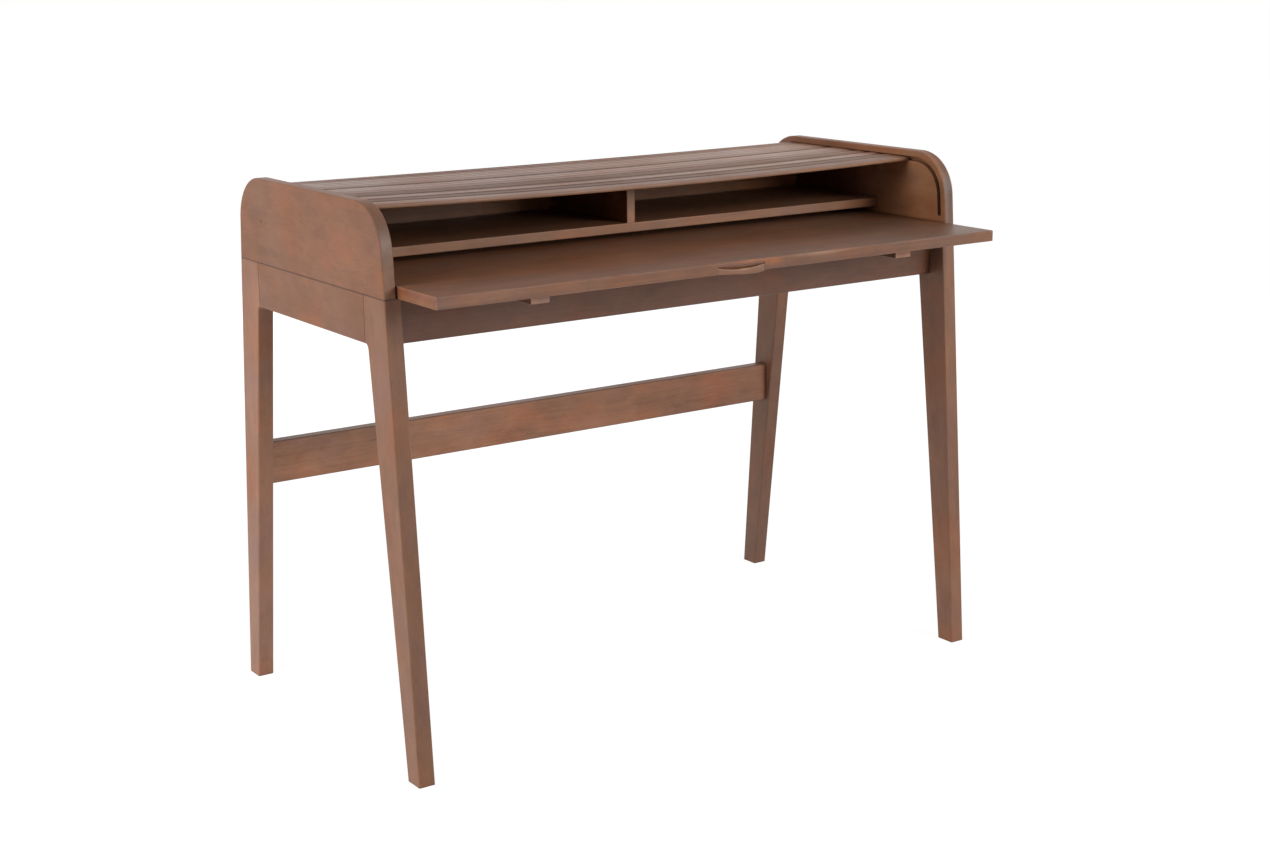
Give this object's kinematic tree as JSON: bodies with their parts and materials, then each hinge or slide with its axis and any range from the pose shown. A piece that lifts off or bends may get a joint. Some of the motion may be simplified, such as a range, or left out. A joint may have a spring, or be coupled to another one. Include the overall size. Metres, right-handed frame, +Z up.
{
  "type": "tambour desk",
  "caption": "Small desk with splayed legs, a slatted curtain that rolls over a shelf with cubbies, and a worktop that slides out.",
  "frame": {"origin": "on the floor, under the middle of the desk's box as it stands with the worktop drawn out and the curtain open", "axes": "+X to the sitter's right along the desk's length, +Y to the back, +Z up"},
  "size_m": [1.1, 0.6636, 0.86],
  "materials": {
    "frame_wood": "satin",
    "case_wood": "satin",
    "worktop_wood": "satin",
    "slat_wood": "satin",
    "dowel_wood": "matte",
    "block_wood": "matte",
    "screw_steel": "satin",
    "canvas": "matte"
  },
  "bodies": {
    "desk_frame": {"side_panel_left": "case_wood", "side_panel_right": "case_wood", "leg_front_left": "frame_wood", "leg_front_right": "frame_wood", "leg_back_left": "frame_wood", "leg_back_right": "frame_wood", "side_rail_left": "frame_wood", "side_rail_right": "frame_wood", "front_apron": "frame_wood", "back_apron": "frame_wood", "back_stretcher": "frame_wood", "shelf": "case_wood", "shelf_divider": "case_wood", "inner_back": "case_wood", "corner_cleat_front_left": "block_wood", "corner_cleat_front_right": "block_wood", "corner_cleat_back_left": "block_wood", "corner_cleat_back_right": "block_wood", "panel_dowels": "dowel_wood", "rail_dowels": "dowel_wood", "apron_dowels": "dowel_wood", "stretcher_dowels": "dowel_wood", "case_dowels": "dowel_wood", "cleat_screws": "screw_steel"},
    "worktop_body": {"worktop": "worktop_wood", "finger_pull": "worktop_wood", "worktop_runner_left": "worktop_wood", "worktop_runner_right": "worktop_wood", "worktop_stop_left": "worktop_wood", "worktop_stop_right": "worktop_wood", "worktop_screws": "screw_steel"},
    "curtain_top": {"tambour_slat_06": "slat_wood", "tambour_slat_07": "slat_wood", "tambour_slat_08": "slat_wood", "tambour_slat_09": "slat_wood", "tambour_slat_10": "slat_wood", "tambour_slat_11": "slat_wood", "tambour_slat_12": "slat_wood", "tambour_slat_13": "slat_wood", "tambour_slat_14": "slat_wood", "tambour_slat_15": "slat_wood", "tambour_slat_16": "slat_wood", "tambour_canvas": "canvas"},
    "curtain_lead": {"tambour_lead_rail": "slat_wood"},
    "curtain_slat_01": {"tambour_slat_01": "slat_wood"},
    "curtain_slat_02": {"tambour_slat_02": "slat_wood"},
    "curtain_slat_03": {"tambour_slat_03": "slat_wood"},
    "curtain_slat_04": {"tambour_slat_04": "slat_wood"},
    "curtain_slat_05": {"tambour_slat_05": "slat_wood"},
    "curtain_slat_17": {"tambour_slat_17": "slat_wood"},
    "curtain_slat_18": {"tambour_slat_18": "slat_wood"},
    "curtain_slat_19": {"tambour_slat_19": "slat_wood"},
    "curtain_slat_20": {"tambour_slat_20": "slat_wood"},
    "curtain_slat_21": {"tambour_slat_21": "slat_wood"},
    "curtain_tail": {"tambour_slat_22": "slat_wood", "tambour_slat_23": "slat_wood", "tambour_slat_24": "slat_wood"}
  },
  "joints": [
    {"name": "worktop_slide", "type": "slide", "parent": "desk_frame", "child": "worktop_body", "axis": [0, 1, 0], "range_m": [0, 0.1155]},
    {"name": "curtain_slide", "type": "slide", "parent": "desk_frame", "child": "curtain_top", "axis": [0, -1, 0], "range_m": [0, 0.1525], "deforming": ["tambour_canvas"]},
    {"name": "curtain_lead_turn", "type": "hinge", "parent": "desk_frame", "child": "curtain_lead", "pos_m": [0, -0.10646, 0.75153], "axis": [1, 0, 0], "range_deg": [0, 85.66]},
    {"name": "curtain_slat_01_turn", "type": "hinge", "parent": "desk_frame", "child": "curtain_slat_01", "pos_m": [0, -0.10611, 0.75076], "axis": [1, 0, 0], "range_deg": [0, 85]},
    {"name": "curtain_slat_02_turn", "type": "hinge", "parent": "desk_frame", "child": "curtain_slat_02", "pos_m": [0, -0.09706, 0.7249], "axis": [1, 0, 0], "range_deg": [0, 67.86]},
    {"name": "curtain_slat_03_turn", "type": "hinge", "parent": "desk_frame", "child": "curtain_slat_03", "pos_m": [0, -0.08801, 0.6806], "axis": [1, 0, 0], "range_deg": [0, 50.71]},
    {"name": "curtain_slat_04_turn", "type": "hinge", "parent": "desk_frame", "child": "curtain_slat_04", "pos_m": [0, -0.07896, 0.59099], "axis": [1, 0, 0], "range_deg": [0, 33.57]},
    {"name": "curtain_slat_05_turn", "type": "hinge", "parent": "desk_frame", "child": "curtain_slat_05", "pos_m": [0, -0.06991, 0.31696], "axis": [1, 0, 0], "range_deg": [0, 16.43]},
    {"name": "curtain_slat_17_turn", "type": "hinge", "parent": "desk_frame", "child": "curtain_slat_17", "pos_m": [0, 0.12968, 0.33294], "axis": [1, 0, 0], "range_deg": [0, 16.94]},
    {"name": "curtain_slat_18_turn", "type": "hinge", "parent": "desk_frame", "child": "curtain_slat_18", "pos_m": [0, 0.13872, 0.59491], "axis": [1, 0, 0], "range_deg": [0, 34.08]},
    {"name": "curtain_slat_19_turn", "type": "hinge", "parent": "desk_frame", "child": "curtain_slat_19", "pos_m": [0, 0.14777, 0.68234], "axis": [1, 0, 0], "range_deg": [0, 51.22]},
    {"name": "curtain_slat_20_turn", "type": "hinge", "parent": "desk_frame", "child": "curtain_slat_20", "pos_m": [0, 0.15682, 0.72587], "axis": [1, 0, 0], "range_deg": [0, 68.36]},
    {"name": "curtain_slat_21_turn", "type": "hinge", "parent": "desk_frame", "child": "curtain_slat_21", "pos_m": [0, 0.16587, 0.75135], "axis": [1, 0, 0], "range_deg": [0, 85.5]},
    {"name": "curtain_tail_turn", "type": "hinge", "parent": "desk_frame", "child": "curtain_tail", "pos_m": [0, 0.16596, 0.75153], "axis": [1, 0, 0], "range_deg": [0, 85.66]}
  ],
  "couplings": [
    {"joint": "curtain_lead_turn", "follows": "curtain_slide", "rad_per_m": 9.8038},
    {"joint": "curtain_slat_01_turn", "follows": "curtain_slide", "rad_per_m": 9.7277},
    {"joint": "curtain_slat_02_turn", "follows": "curtain_slide", "rad_per_m": 7.7659},
    {"joint": "curtain_slat_03_turn", "follows": "curtain_slide", "rad_per_m": 5.8041},
    {"joint": "curtain_slat_04_turn", "follows": "curtain_slide", "rad_per_m": 3.8423},
    {"joint": "curtain_slat_05_turn", "follows": "curtain_slide", "rad_per_m": 1.8805},
    {"joint": "curtain_slat_17_turn", "follows": "curtain_slide", "rad_per_m": 1.9384},
    {"joint": "curtain_slat_18_turn", "follows": "curtain_slide", "rad_per_m": 3.9002},
    {"joint": "curtain_slat_19_turn", "follows": "curtain_slide", "rad_per_m": 5.862},
    {"joint": "curtain_slat_20_turn", "follows": "curtain_slide", "rad_per_m": 7.8238},
    {"joint": "curtain_slat_21_turn", "follows": "curtain_slide", "rad_per_m": 9.7856},
    {"joint": "curtain_tail_turn", "follows": "curtain_slide", "rad_per_m": 9.8038}
  ]
}
